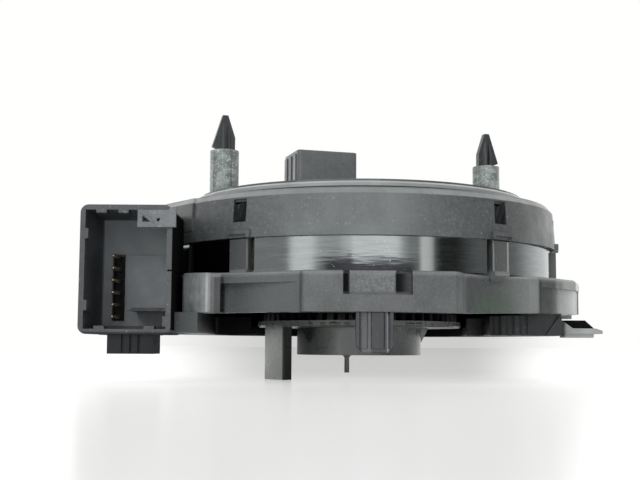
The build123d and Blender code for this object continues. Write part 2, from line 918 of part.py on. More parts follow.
def gear_outline(teeth, phase):
    """The toothed outline, with one tooth centred on the phase in degrees."""
    pitch_radius = tooth_module * teeth / 2
    tip = pitch_radius + tooth_module * addendum_share
    root = pitch_radius - tooth_module * dedendum_share
    steps = [root, pitch_radius, (pitch_radius + tip) / 2, tip]
    points = []
    for index in range(teeth):
        centre = phase + 360 * index / teeth
        for radius in steps:
            points.append(around(radius, centre - math.degrees(tooth_half_angle(radius, teeth))))
        for radius in reversed(steps):
            points.append(around(radius, centre + math.degrees(tooth_half_angle(radius, teeth))))
    return points


def sensor_gear():
    """The ring gear that sits on the cam disc, round the rotor's sleeve."""
    low = cam_top
    gear = prism(gear_outline(ring_teeth, rest_turn), low, low + gear_thickness)
    return gear - cylinder(sleeve_radius + gear_seat, low - overrun, low + gear_thickness + overrun)


def pinion_phase(azimuth, teeth):
    """The turn that sets a pinion's gap on the ring gear's tooth at their line of centres."""
    ring_step = 360 / ring_teeth
    past_tooth = ((azimuth - rest_turn) % ring_step) / ring_step
    return azimuth + 180 + (past_tooth - 0.5) * 360 / teeth


def pinion_hub_radius(teeth):
    return tooth_module * teeth / 2 * pinion_hub_share


def magnet_radius(teeth):
    return pinion_hub_radius(teeth) - magnet_wall


def pinion(azimuth, teeth):
    distance = ring_pitch_radius + tooth_module * teeth / 2
    low = pinion_lift + pinion_fit
    high = low + pinion_thickness
    centre = around(distance, azimuth)
    body = Pos(*centre, 0) * prism(gear_outline(teeth, pinion_phase(azimuth, teeth)), low, high)
    cap = high + pinion_hub_height
    body += Pos(*centre, 0) * cylinder(pinion_hub_radius(teeth), high, cap)
    bore_top = pinion_lift + pinion_thickness + pinion_hub_height / 2 + pinion_fit
    body -= Pos(*centre, 0) * cylinder(pinion_pin_radius + pinion_fit, low - overrun, bore_top)
    recess = cylinder(magnet_radius(teeth), cap - magnet_sink, cap + overrun)
    return body - Pos(*centre, 0) * recess


def magnet(azimuth, teeth):
    distance = ring_pitch_radius + tooth_module * teeth / 2
    low = pinion_lift + pinion_fit + pinion_thickness + pinion_hub_height - magnet_sink
    radius = magnet_radius(teeth) - magnet_fit
    return placed(cylinder(radius, low, low + magnet_thickness), azimuth, distance)


def circuit_board():
    low = floor_low - board_thickness
    return sector(
        board_outer_radius, board_inner_radius, board_start_azimuth, board_end_azimuth, low, floor_low)


def chip(size, distance, azimuth, high):
    """A flat square package that hangs from the board."""
    low = high - chip_height
    return radial_block(distance - size / 2, distance + size / 2, size, low, high, azimuth)


def board_components():
    """The two field sensors over the magnets, and the small parts between them."""
    high = floor_low - board_thickness
    chips = []
    for azimuth, teeth in zip(pinion_azimuths, pinion_teeth):
        distance = ring_pitch_radius + tooth_module * teeth / 2
        chips.append(chip(chip_size, distance, azimuth, high))
    middle = (board_inner_radius + board_outer_radius) / 2
    for azimuth in small_chip_azimuths:
        chips.append(chip(small_chip_size, middle, azimuth, high))
    return joined(chips)


def lower_liner():
    outer = drum_inner_radius - liner_inner_gap / 2
    return tube(outer, hole_radius + liner_inner_gap, plate_top, plate_top + liner_thickness)


def upper_liner():
    outer = cover_mouth_radius - liner_inner_gap
    return tube(outer, sleeve_radius + fit_gap, flange_low - liner_thickness, flange_low)


def spiral_cable():
    """The flat cable wound between rotor and drum, as one even spiral."""
    steps = cable_steps * cable_turns
    growth = (cable_outer_radius - cable_inner_radius) / steps
    outer = []
    inner = []
    for index in range(steps + 1):
        azimuth = rest_turn + 360 * index / cable_steps
        radius = cable_inner_radius + growth * index
        outer.append(around(radius + cable_thickness / 2, azimuth))
        inner.append(around(radius - cable_thickness / 2, azimuth))
    return prism(outer + inner[::-1], cable_low, cable_low + cable_height)


def inner_cable_block():
    """The terminal joint that the cable's inner end is welded into, on the rotor's sleeve."""
    outer = sleeve_radius + inner_block_depth
    half = math.degrees(inner_block_length / 2 / sleeve_radius)
    inner = sleeve_radius + gear_seat
    high = cable_low + inner_block_height
    return sector(outer, inner, rest_turn - half, rest_turn + half, cable_low, high)


def outer_cable_block():
    """The terminal joint at the cable's outer end, on the drum beside the socket."""
    outer = drum_inner_radius - gear_seat
    inner = outer - outer_block_depth
    half = math.degrees(outer_block_length / 2 / outer)
    start = outer_block_azimuth - half
    low = plate_top + liner_thickness
    return sector(outer, inner, start, start + 2 * half, low, low + inner_block_height)


def rotor_flange():
    """The top disc and the sleeve that runs down through the stator."""
    flange = cylinder(flange_radius, flange_low, flange_top)
    flange = chamfer(flange.edges().sort_by(Axis.Z)[-1], soft_edge)
    flange += cylinder(sleeve_radius, cam_top, flange_top)
    collar = sleeve_bore_radius + collar_width
    bead = flange_radius - bead_inset
    flange += cylinder(collar, flange_top, flange_top + collar_height)
    flange += tube(bead, bead - bead_width, flange_top, flange_top + bead_height)
    for azimuth in top_rib_azimuths:
        flange += radial_block(
            collar - fit_gap, bead, top_rib_width, flange_top, flange_top + bead_height, azimuth)
    clearing = cylinder(post_sleeve_radius + bead_clearance, flange_top, flange_top + overrun)
    for _, azimuth, distance in post_places():
        flange -= placed(clearing, azimuth, distance)
    return flange - cylinder(sleeve_bore_radius, cam_top - overrun, flange_top + collar_height + overrun)


def post_places():
    """Name, azimuth and distance from the axis of the two posts, which stand on one line."""
    return (
        ("left", rest_turn + 180, cover_radius * post_left_share),
        ("right", rest_turn, cover_radius * post_right_share),
    )


def post_sleeve(azimuth, distance):
    """A round boss with four upright grooves and a blind hole for the tip's root."""
    top = flange_top + sleeve_height
    boss = cylinder(post_sleeve_radius, flange_top, top)
    boss -= cylinder(post_core_radius, top - tip_root_length, top + overrun)
    for groove in post_groove_azimuths:
        facing = groove - 90 - azimuth
        boss -= radial_block(
            post_sleeve_radius - post_groove_depth, post_sleeve_radius + overrun, post_groove_width,
            flange_top - overrun, top + overrun, facing)
    return placed(boss, azimuth, distance)


def post_tip(azimuth, distance):
    """The dart above a sleeve, with its barb away from the axis and a root inside the sleeve."""
    base = flange_top + sleeve_height
    top = base + tip_gap + tip_height
    profile = [
        (-tip_body_half, 0, base),
        (-tip_body_half, 0, base + tip_shoulder),
        (-tip_top_half, 0, top),
        (tip_top_half, 0, top),
        (barb_half, 0, base + tip_gap),
        (tip_body_half - soft_edge, 0, base + tip_gap - barb_rise),
        (tip_body_half - soft_edge, 0, base),
    ]
    dart = extrude(make_face(Polyline(*profile, close=True)), amount=tip_web / 2, both=True)
    taper = turned([
        (0, base),
        (tip_thickness / 2, base),
        (tip_thickness / 2, base + tip_shoulder),
        (tip_top_half, top),
        (0, top),
    ])
    body = dart + taper
    groove_y = tip_thickness / 2 - tip_groove_depth
    for side in (-1, 1):
        depth = sorted((side * groove_y, side * (tip_thickness / 2 + overrun)))
        body -= block((-tip_groove / 2, tip_groove / 2), depth, (base + soft_edge, top - 2 * barb_rise))
    root = cylinder(post_core_radius - gear_seat, base - tip_root_length, base)
    return placed(body + root, azimuth, distance)


def plug_frame(shape):
    """The shape moved from the plug block's own centre to its place on the rotor."""
    centre = around(cover_radius * plug_place_share, plug_azimuth)
    return Pos(centre[0], centre[1], flange_top) * Rot(0, 0, rest_turn) * shape


def rotor_connector():
    half_width = plug_width / 2
    half_depth = plug_depth / 2
    body = block((-half_width, half_width), (-half_depth, half_depth), (0, plug_height))
    body = fillet(body.edges().filter_by(Axis.Z), plug_corner)
    body = fillet(body.faces().sort_by(Axis.Z)[-1].outer_wire().edges(), plug_top_corner)
    body += block(
        (-half_width, half_width + plug_base_reach), (-half_depth - plug_base_reach, half_depth),
        (0, plug_base_height))
    for side in (-1, 0, 1):
        y = side * plug_band_pitch
        body += block(
            (-half_width - plug_band_relief, -half_width + plug_wall / 2),
            (y - plug_band_width / 2, y + plug_band_width / 2), (0, plug_height - plug_corner))
    cavity = block(
        (-half_width + plug_wall, half_width - plug_wall),
        (-half_depth + plug_wall, half_depth - plug_wall),
        (plug_height - plug_cavity, plug_height + overrun))
    return plug_frame(body - cavity)


def rotor_terminals():
    """Two rows of square pins on the floor of the plug block."""
    low = plug_height - plug_cavity
    pins = []
    for column in range(plug_pin_columns):
        for row in range(plug_pin_rows):
            x = (column - (plug_pin_columns - 1) / 2) * plug_pin_pitch
            y = (row - (plug_pin_rows - 1) / 2) * plug_pin_pitch
            pin = Pos(x, y, low) * Box(plug_pin_size, plug_pin_size, plug_pin_length, align=ON_FLOOR)
            pins.append(plug_frame(chamfer(pin.faces().sort_by(Axis.Z)[-1].edges(), pin_point)))
    return joined(pins)


def cam_ring():
    """Disc, hub, cancelling tab and nib in one moulding under the rotor."""
    spigot = sleeve_bore_radius - fit_gap
    disc = turned([
        (spigot - spigot_wall, cam_lift),
        (cam_radius - cam_rim, cam_lift),
        (cam_radius, cam_lift + cam_rim),
        (cam_radius, cam_top),
        (spigot, cam_top),
        (spigot, cam_top + spigot_height),
        (spigot - spigot_wall, cam_top + spigot_height),
    ])
    ring = disc + tube(spigot, hub_bore_radius, cam_lift, cam_top)
    ring += tube(hub_radius, hub_bore_radius, hub_low, cam_top)
    tab_levels = (cam_lift - tab_drop, cam_lift + cam_rim)
    ring += sector(
        cam_radius, cam_radius - tab_wall, tab_start_azimuth, tab_end_azimuth, *tab_levels)
    ring += tab_web()
    for index in range(gusset_count):
        ring += hub_gusset(gusset_azimuth + 360 / gusset_count * index)
    nib_place = (hub_radius + hub_bore_radius) / 2
    nib = cylinder(nib_radius, hub_low - nib_length, hub_low + overrun)
    nib += turned([
        (0, hub_low),
        (nib_radius + nib_root, hub_low),
        (nib_radius, hub_low - nib_root),
        (0, hub_low - nib_root),
    ])
    return ring + placed(nib, nib_azimuth, nib_place)


def tab_web():
    """The web that braces the tab's hidden end against the disc."""
    inner = cam_radius - tab_wall - tab_gusset
    profile = [
        (inner, 0, cam_lift),
        (cam_radius - tab_wall, 0, cam_lift),
        (cam_radius - tab_wall, 0, cam_lift - 2 * tab_gusset),
    ]
    web = extrude(make_face(Polyline(*profile, close=True)), amount=gusset_width, both=True)
    return placed(web, (tab_start_azimuth + tab_end_azimuth) / 2)


def hub_gusset(azimuth):
    """A thin slanted brace between the disc and the hub."""
    inner = hub_radius - soft_edge
    profile = [
        (inner, 0, cam_lift),
        (hub_radius + gusset_reach, 0, cam_lift),
        (hub_radius, 0, cam_lift - gusset_height),
        (inner, 0, cam_lift - gusset_height),
    ]
    web = extrude(make_face(Polyline(*profile, close=True)), amount=gusset_width / 2, both=True)
    return placed(web, azimuth)


os.makedirs("parts", exist_ok=True)
export_step(base_plate(), "parts/base_plate.step")
export_step(cable_drum(), "parts/cable_drum.step")
export_step(cover_ring(), "parts/cover_ring.step")
export_step(connector_housing(), "parts/connector_housing.step")
export_step(socket_latch(), "parts/socket_latch.step")
export_step(socket_terminals(), "parts/socket_terminals.step")
export_step(terminal_block(), "parts/terminal_block.step")
export_step(front_latch(), "parts/front_latch.step")
export_step(sensor_cover(), "parts/sensor_cover.step")
export_step(circuit_board(), "parts/circuit_board.step")
export_step(board_components(), "parts/board_components.step")
export_step(lower_liner(), "parts/lower_liner.step")
export_step(spiral_cable(), "parts/spiral_cable.step")
export_step(outer_cable_block(), "parts/outer_cable_block.step")
export_step(rotor_flange(), "parts/rotor_flange.step")
export_step(upper_liner(), "parts/upper_liner.step")
export_step(inner_cable_block(), "parts/inner_cable_block.step")
export_step(rotor_connector(), "parts/rotor_connector.step")
export_step(rotor_terminals(), "parts/rotor_terminals.step")
export_step(cam_ring(), "parts/cam_ring.step")
export_step(sensor_gear(), "parts/sensor_gear.step")
for side, azimuth, distance in post_places():
    export_step(post_sleeve(azimuth, distance), f"parts/post_sleeve_{side}.step")
    export_step(post_tip(azimuth, distance), f"parts/post_tip_{side}.step")
for name, azimuth, teeth in zip(("a", "b"), pinion_azimuths, pinion_teeth):
    export_step(pinion(azimuth, teeth), f"parts/pinion_{name}.step")
    export_step(magnet(azimuth, teeth), f"parts/magnet_{name}.step")
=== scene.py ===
# %% [markdown]
# # A steering clock spring, dressed for its portrait
# The real object is a flat black drum that sits behind a steering wheel. A fixed stator carries a plug
# socket, and a rotor with two posts turns inside it. The solids come from the CAD frame and are already the
# right size, so this notebook gives them soft edges, moulded and polished finishes, grease on the gear, and
# a plain white table to stand on.

# %% Load the frame
import math
import random

import bpy
from mathutils import Euler, Matrix, Vector


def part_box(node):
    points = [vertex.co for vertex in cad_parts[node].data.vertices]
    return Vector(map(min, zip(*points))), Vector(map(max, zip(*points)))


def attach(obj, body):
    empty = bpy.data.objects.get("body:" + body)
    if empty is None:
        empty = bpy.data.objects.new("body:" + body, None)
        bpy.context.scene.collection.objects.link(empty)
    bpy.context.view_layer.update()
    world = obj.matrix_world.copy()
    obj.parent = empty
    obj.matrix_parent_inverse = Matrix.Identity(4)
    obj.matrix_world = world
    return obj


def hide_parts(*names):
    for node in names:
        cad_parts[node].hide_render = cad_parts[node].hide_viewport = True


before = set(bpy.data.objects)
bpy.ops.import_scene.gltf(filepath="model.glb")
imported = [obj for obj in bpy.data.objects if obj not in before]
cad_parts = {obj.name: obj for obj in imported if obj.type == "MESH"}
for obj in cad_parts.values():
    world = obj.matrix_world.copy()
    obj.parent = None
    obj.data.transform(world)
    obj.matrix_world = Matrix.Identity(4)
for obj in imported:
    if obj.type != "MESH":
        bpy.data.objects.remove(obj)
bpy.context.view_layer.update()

MM = 0.001
print("nodes loaded:", len(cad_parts))

# %% [markdown]
# ## The camera
# The photograph was taken from a phone that stood on the table, so the lens is lower than the drum and
# looks a little upwards. A camera in Blender looks down its own minus Z. Turning it a quarter turn about X
# makes it look along plus Y, a few degrees more tilt it up, and a last small turn about its own axis gives
# the slight lean of the picture.

# %% Place the camera
EYE = Vector((-9.2, -247.5, -2.2)) * MM
TILT_UP = 0.0988
LEAN = 0.0056
FOCAL_PIXELS = 1055.1
PHOTO_WIDTH = 640
SENSOR = 36.0

bpy.ops.object.camera_add(location=EYE)
camera = bpy.context.object
camera.name = "camera"
look = Euler((math.pi / 2 + TILT_UP, 0, 0)).to_matrix() @ Matrix.Rotation(LEAN, 3, "Z")
camera.rotation_euler = look.to_euler()
camera.data.sensor_width = SENSOR
camera.data.lens = FOCAL_PIXELS / PHOTO_WIDTH * SENSOR
camera.data.clip_start = 5 * MM
bpy.context.scene.camera = camera
bpy.context.scene.view_settings.view_transform = "Standard"
print("lens in millimetres:", round(camera.data.lens, 2))

# %% [markdown]
# ## Shader maths as plain Python
# A node tree gets long when every sum is a node placed by hand. Here a small class wraps a number socket
# and teaches it plus, minus, times, divide and power, so a mask can be written as `1 - edge * wear`.

# %% A number that knows its nodes
class Value:
    """A number on its way through a shader."""

    def __init__(self, finish, socket):
        self.finish = finish
        self.socket = socket

    def maths(self, operation, first, second):
        return self.finish.number("ShaderNodeMath", {"operation": operation}, {0: first, 1: second})

    def __add__(self, other):
        return self.maths("ADD", self, other)

    def __sub__(self, other):
        return self.maths("SUBTRACT", self, other)

    def __rsub__(self, other):
        return self.maths("SUBTRACT", other, self)

    def __mul__(self, other):
        return self.maths("MULTIPLY", self, other)

    def __truediv__(self, other):
        return self.maths("DIVIDE", self, other)

    def __pow__(self, other):
        return self.maths("POWER", self, other)

    __radd__ = __add__


# %% [markdown]
# A second class stands for one finish. It owns the node tree and the only method that makes other nodes, so
# every later cell can say in one line which node it wants and what feeds it. It can also lay one shader over
# another and show the result.

# %% A finish and its one way to add nodes
class Finish:
    """One node tree with its shader, and the methods that add nodes to it."""

    def __init__(self, owner):
        owner.use_nodes = True
        self.owner = owner
        self.tree = owner.node_tree
        self.shader = self.tree.nodes.get("Principled BSDF")

    def feed(self, socket, value):
        """Links a value or a socket to the socket, or sets a plain number on it."""
        if isinstance(value, Value):
            self.tree.links.new(value.socket, socket)
        elif isinstance(value, bpy.types.NodeSocket):
            self.tree.links.new(value, socket)
        else:
            socket.default_value = value

    def node(self, kind, settings, inputs):
        """Makes a node, sets its properties and feeds its inputs."""
        made = self.tree.nodes.new(kind)
        for key, value in settings.items():
            setattr(made, key, value)
        for key, value in inputs.items():
            self.feed(made.inputs[key], value)
        return made

    def number(self, kind, settings, inputs, output=0):
        """Makes a node and gives one of its outputs as a number."""
        return Value(self, self.node(kind, settings, inputs).outputs[output])

    def layered(self, share, under, over):
        """A shader that passes from the one under to the one over as the share goes to one."""
        return self.node("ShaderNodeMixShader", {}, {0: share, 1: under, 2: over}).outputs[0]

    def show(self, shader):
        """Sends this shader to the surface."""
        self.tree.links.new(shader, self.tree.nodes["Material Output"].inputs[0])

    def cover(self, share, colour):
        """Lays a dull coat over the shader where the share is one."""
        dull = self.node("ShaderNodeBsdfDiffuse", {}, {"Color": (*colour, 1)})
        self.show(self.layered(share, self.shader.outputs[0], dull.outputs[0]))

    def set(self, **inputs):
        """Feeds the main shader, such as base_color or roughness."""
        for key, value in inputs.items():
            self.feed(self.shader.inputs[key.replace("_", " ").title().replace("Ior", "IOR")], value)


# %% [markdown]
# ## Patterns that every finish shares
# A finish may not slide over the part when the part moves, so every pattern hangs on the Object coordinates.
# Noise gives speckles of any size, a map range with a smooth step gives soft edges between two levels, and a
# bump node turns a pattern into a tilt of the surface.

# %% Patterns
def place_vector(finish):
    """The point on the object, as a vector socket."""
    return finish.node("ShaderNodeTexCoord", {}, {}).outputs["Object"]


def coordinates(finish):
    """X, Y and Z of the point, in metres, as three values."""
    parts = finish.node("ShaderNodeSeparateXYZ", {}, {0: place_vector(finish)})
    return [Value(finish, parts.outputs[axis]) for axis in range(3)]


def from_axis(x, y):
    """The distance from the rotor's axis."""
    return (x * x + y * y) ** 0.5


def speckle(finish, size, detail=2.0, rough=0.5, stretch=(1, 1, 1)):
    """Noise whose lumps are about this size in metres."""
    stretched = finish.node(
        "ShaderNodeMapping", {}, {"Vector": place_vector(finish), "Scale": stretch}).outputs[0]
    return finish.number(
        "ShaderNodeTexNoise", {},
        {"Vector": stretched, "Scale": 1 / size, "Detail": detail, "Roughness": rough})


def between(finish, value, low, high, at_low=0.0, at_high=1.0):
    """A smooth passage from one level to another as the value crosses a range."""
    return finish.number(
        "ShaderNodeMapRange", {"interpolation_type": "SMOOTHSTEP"},
        {"Value": value, "From Min": low, "From Max": high, "To Min": at_low, "To Max": at_high})


def tint(finish, factor, first, second):
    """A colour between two, as the factor goes from nought to one."""
    ends = [(*end, 1) if isinstance(end, tuple) else end for end in (first, second)]
    mixed = finish.node(
        "ShaderNodeMix", {"data_type": "RGBA"}, {"Factor": factor, 6: ends[0], 7: ends[1]})
    return mixed.outputs[2]


def bumped(finish, height, depth):
    """A normal that follows a height of nought to one over a depth in metres."""
    return finish.node("ShaderNodeBump", {}, {"Height": height, "Distance": depth}).outputs[0]


# %% [markdown]
# ## The room
# Black plastic has hardly any colour of its own: what the eye reads is how bright the room is in each
# direction. The drum shows that room like a curved mirror. Behind the phone is a wide window with a bar in
# it, right of it a dimmer pane and a black wall, left of it a grey wall, and behind the object a white
# sweep. A world shader can hold that room. Glossy rays see it, while diffuse rays see one even level, so
# colours stay true. The camera sees white paper with the object's faint shade on it.

# %% The front of the room
WINDOW_LEVEL = 2.0
WINDOW_LEFT_EDGE = (-0.70, -0.63)
WINDOW_RIGHT_EDGE = (0.33, 0.40)
PANE_RIGHT_EDGE = (0.60, 0.70)
PANE_SHARE = 0.46
BAR_PLACE = -0.32
BAR_SPREAD = (0.004, 0.03)
BAR_SHARE = 0.40
LEFT_WALL_LEVEL = 0.62
RIGHT_WALL_LEVEL = 0.05
RIGHT_CORNER = (0.80, 0.96)
RIGHT_CORNER_LEVEL = 0.30


def window_front(finish, side):
    """How bright the front of the room is, for a direction from left (-1) to right (1)."""
    opening = between(finish, side, *WINDOW_LEFT_EDGE)
    main = between(finish, side, *WINDOW_RIGHT_EDGE, 1, 0)
    pane = between(finish, side, *PANE_RIGHT_EDGE, 1, 0)
    bar = between(finish, (side - BAR_PLACE) * (side - BAR_PLACE), *BAR_SPREAD, 1, 0)
    window = opening * (pane * PANE_SHARE + main * (1 - PANE_SHARE)) * (1 - bar * BAR_SHARE)
    left_wall = (1 - opening) * LEFT_WALL_LEVEL
    corner = between(finish, side, *RIGHT_CORNER, RIGHT_WALL_LEVEL, RIGHT_CORNER_LEVEL)
    return window * WINDOW_LEVEL + left_wall + (1 - pane) * corner


# %% The whole room
ROOM_WHITE = (1.0, 1.0, 0.992)
DIFFUSE_LEVEL = 0.62
SWEEP_LEVEL = 1.3
SWEEP_EDGE = (0.02, 0.62)
CEILING_LEVEL = 1.5
CEILING_EDGE = (0.35, 0.75)
SHADE_LEFT_EDGE = (-0.19, -0.03)
SHADE_RIGHT_EDGE = (0.13, 0.24)
SHADE_BACK_EDGE = (0.5, 0.9)
PAPER_SHADE_TOP = (0.015, 0.045)
PAPER_SHADE = 0.39
GLOSS_SHADE_TOP = (0.10, 0.30)
GLOSS_SHADE = 0.55
LEAST_FLAT = 0.001


def room(world):
    """Lights the world: one brightness for each kind of ray and each direction."""
    finish = Finish(world)
    direction = finish.node("ShaderNodeTexCoord", {}, {}).outputs["Generated"]
    parts = finish.node("ShaderNodeSeparateXYZ", {}, {0: direction})
    right, back, up = (Value(finish, parts.outputs[axis]) for axis in range(3))
    flat = (right * right + back * back) ** 0.5 + LEAST_FLAT
    side = right / flat
    front = window_front(finish, side)
    sweep = between(finish, back / flat, *SWEEP_EDGE)
    around = front + sweep * (SWEEP_LEVEL - front)
    ceiling = between(finish, up, *CEILING_EDGE)
    across = between(finish, side, *SHADE_LEFT_EDGE) * between(finish, side, *SHADE_RIGHT_EDGE, 1, 0)
    shade = across * between(finish, back, *SHADE_BACK_EDGE)
    paper = 1 - shade * between(finish, up, *PAPER_SHADE_TOP, 1, 0) * PAPER_SHADE
    dimmed = 1 - shade * between(finish, up, *GLOSS_SHADE_TOP, 1, 0) * GLOSS_SHADE
    seen_in_gloss = (around + ceiling * (CEILING_LEVEL - around)) * dimmed
    rays = finish.node("ShaderNodeLightPath", {}, {})
    camera_ray = Value(finish, rays.outputs["Is Camera Ray"])
    glossy_ray = Value(finish, rays.outputs["Is Glossy Ray"])
    level = DIFFUSE_LEVEL + glossy_ray * (seen_in_gloss - DIFFUSE_LEVEL)
    level = level + camera_ray * (paper - DIFFUSE_LEVEL)
    background = finish.tree.nodes["Background"]
    finish.feed(background.inputs["Color"], (*ROOM_WHITE, 1))
    finish.feed(background.inputs["Strength"], level)


world = bpy.data.worlds.new("studio")
bpy.context.scene.world = world
room(world)
print("nodes in the room:", len(world.node_tree.nodes))

# %% [markdown]
# ## The table
# The photograph's table is white and slightly glossy, so the object stands on a faint upside-down picture of
# itself, clearest where one looks along the table. A plane just under the lowest solid takes a white shader
# and a glossy one, mixed by Layer Weight. To the camera most of its white is given off evenly, because a
# table in full light has no visible shading, and far away all of it is.

# %% The table
FLOOR_GAP = 0.05 * MM
FLOOR_SIZE = 6.0
FLOOR_WHITE = (0.93, 0.935, 0.925)
EVEN_SHARE = 0.80
FAR_AWAY = (0.35, 0.85)
SHEEN_WHITE = (0.95, 0.955, 0.945)
LOW_VIEW = (0.70, 0.88)
LOW_VIEW_SHARES = (0.03, 0.30)
GRAZING_VIEW = (0.962, 0.976)
GRAZING_SHARE = 0.62
SHARPENING_VIEW = (0.955, 0.976)
SHEEN_ROUGHNESS = (0.22, 0.06)


def table_top():
    """White, and glossier the flatter one looks along it, so that it mirrors the object softly."""
    finish = Finish(bpy.data.materials.new("table_white"))
    finish.set(base_color=(*FLOOR_WHITE, 1), roughness=0.9, specular_ior_level=0.0)
    x, y, z = coordinates(finish)
    far = between(finish, from_axis(x, y), *FAR_AWAY)
    glow = finish.node("ShaderNodeEmission", {}, {"Color": (*ROOM_WHITE, 1), "Strength": 1.0})
    rays = finish.node("ShaderNodeLightPath", {}, {})
    camera_ray = Value(finish, rays.outputs["Is Camera Ray"])
    even = camera_ray * (EVEN_SHARE + far * (1 - EVEN_SHARE))
    white = finish.layered(even, finish.shader.outputs[0], glow.outputs[0])
    flatness = finish.number("ShaderNodeLayerWeight", {}, {"Blend": 0.5}, "Facing")
    grazing = between(finish, flatness, *GRAZING_VIEW, 0, GRAZING_SHARE)
    share = between(finish, flatness, *LOW_VIEW, *LOW_VIEW_SHARES) + grazing
    roughness = between(finish, flatness, *SHARPENING_VIEW, *SHEEN_ROUGHNESS)
    sheen = finish.node("ShaderNodeBsdfGlossy", {}, {"Color": (*SHEEN_WHITE, 1), "Roughness": roughness})
    finish.show(finish.layered(share, white, sheen.outputs[0]))
    return finish.owner


lowest = min(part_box(node)[0].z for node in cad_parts)
bpy.ops.mesh.primitive_plane_add(size=FLOOR_SIZE, location=(0, 0, lowest - FLOOR_GAP))
floor = bpy.context.object
floor.name = "table"
floor.data.materials.append(table_top())
print("table top at z, in millimetres:", round(floor.location.z / MM, 2))

# %% [markdown]
# ## The lamps
# The room lights the object from all sides, which would leave it flat. Three wide lamps give it a direction:
# a key from the front left, a weak fill from the right, and a strong one from high up behind, which also
# brightens the paper. They are hidden from glossy rays, so the drum mirrors the room only.

# %% Hang the lamps
LAMP_TARGET = Vector((0, 0, 10)) * MM
LAMPS = {
    "key": {"place": (-0.35, -0.80, 0.60), "size": (0.5, 0.5), "power": 3.1},
    "fill": {"place": (0.75, -0.2, 0.6), "size": (0.6, 0.6), "power": 0.9},
    "rear": {"place": (0.0, 0.90, 0.80), "size": (1.0, 0.6), "power": 7.0},
}


def lamp(name, place, size, power):
    """A soft rectangular lamp that faces the object."""
    bpy.ops.object.light_add(type="AREA", location=place)
    made = bpy.context.object
    made.name = name
    made.data.shape = "RECTANGLE"
    made.data.size, made.data.size_y = size
    made.data.energy = power
    made.visible_glossy = False
    made.rotation_euler = (Vector(place) - LAMP_TARGET).to_track_quat("Z", "Y").to_euler()


for name, settings in LAMPS.items():
    lamp(name, **settings)
print("lamps:", ", ".join(LAMPS))

# %% [markdown]
# ## Zones of wear, painted highlights and painted shade
# An old part isn't the same all over: some faces of the rim come polished from the mould and a few carry
# wear, but most zones here are painted light: pale edges and faces are painted highlights, and dark hollows
# and gaps are painted shade. A zone is a mask that says where on the part such a look lies. It is given by
# its spans, in millimetres, along x, y and z and along r, the distance from the axis. Each end of a span
# fades over a blur, so that no zone shows a hard line.

# %% Masks from places on the part
USUAL_BLUR = 0.5


def beyond(finish, value, edge, blur=USUAL_BLUR):
    """One where the value is over the edge, nought under it; both in millimetres."""
    return between(finish, value, (edge - blur) * MM, (edge + blur) * MM)


def short_of(finish, value, edge, blur=USUAL_BLUR):
    """One where the value is under the edge, nought over it."""
    return beyond(finish, value, edge, blur) * -1 + 1


def zone(share=1.0, **spans):
    """A mask with this share inside all its spans: low, high, the blur, and the high end's own blur."""
    def mask(finish, x, y, z):
        result = share
        for axis, (low, high, *blurs) in spans.items():
            value = from_axis(x, y) if axis == "r" else {"x": x, "y": y, "z": z}[axis]
            if low is not None:
                result = beyond(finish, value, low, *blurs[:1]) * result
            if high is not None:
                result = short_of(finish, value, high, *blurs[-1:]) * result
        return result
    return mask


def either(*masks):
    """A mask that holds wherever one of these does."""
    def mask(finish, x, y, z):
        result, *others = (one(finish, x, y, z) for one in masks)
        for other in others:
            result = result + other * (1 - result)
        return result
    return mask


def patterned(mask, pattern):
    """A mask broken up by a pattern."""
    return lambda finish, x, y, z: mask(finish, x, y, z) * pattern(finish, x)


# %% [markdown]
# ### The rim
# The rim runs round the whole base. Seen from the plug's side its wall is a row of facets, each with its own
# tone in the photograph, most of it painted: a pale one at the left with painted sheen over wear streaks and
# a painted highlight on its corner, a narrow one in painted shade, a smooth one with painted shade at its
# left end, the rough block in the middle between two pockets in painted shade, a facet with a painted green
# reflection low down, a facet with a painted highlight, a shaded recess, and the end with a painted
# highlight. Painted shade also fills the hollow under the rim and the hooks under the cover, and painted
# highlights run along the top lip and down the arms' edges.

# %% The rim's zones
RIM_WALL = {"r": (30, None), "y": (None, 7, 1), "z": (None, 11.8, 0.2)}
RIM_FRONT = (None, 0)
RIM_POCKET = {"y": (-45, -36, 0.1, 0.5), "z": (8, 11.7, 0.3, 0.2)}
ARM_EDGE_PLACES = (-23.7, 25.6, 28.8)
ARM_EDGE_HALF = 0.15


def pale_streaks(finish, x):
    """Upright streaks of wear that break up the left facet's painted sheen."""
    return between(finish, speckle(finish, 1.1 * MM, 4, 0.65, (1, 1, 0.35)), 0.30, 0.66, 0.45, 1)


def paler_to_the_right(finish, x):
    """Painted shade along the smooth facet: darker at its left end, paler to the right."""
    return between(finish, x, -29.5 * MM, -12 * MM, 0.75, 0.95)


def scuffs(finish, x):
    """Small pale marks close together."""
    return between(finish, speckle(finish, 0.5 * MM, 3, 0.6), 0.42, 0.62, 0.10, 0.80)


rim_polish = either(zone(x=(-29.7, -13, 0.2, 1.5), **RIM_WALL), zone(x=(19.7, None), **RIM_WALL))
# Painted sheen on the left facet, broken by pale upright wear streaks.
left_facet_sheen_and_wear = patterned(zone(x=(-38, -31.2, 0.5, 0.2), y=RIM_FRONT), pale_streaks)
# Painted highlight on the corner of the left facet.
corner_highlight = zone(0.6, x=(-32.1, -31.6, 0.1), y=(None, -30))
# Painted shade on the narrow facet.
narrow_facet_shade = zone(0.4, x=(-30.4, -28.4, 0.1), y=RIM_FRONT, z=(0, 11.2, 0.2))
# The smooth facet, with painted shade darkening its left end.
smooth_facet = patterned(zone(x=(-28.4, -13, 0.2, 1.5), y=RIM_FRONT), paler_to_the_right)
middle_block = patterned(zone(x=(-3.9, 5.5, 0.3), y=(None, -36), z=(8, None, 0.4)), scuffs)
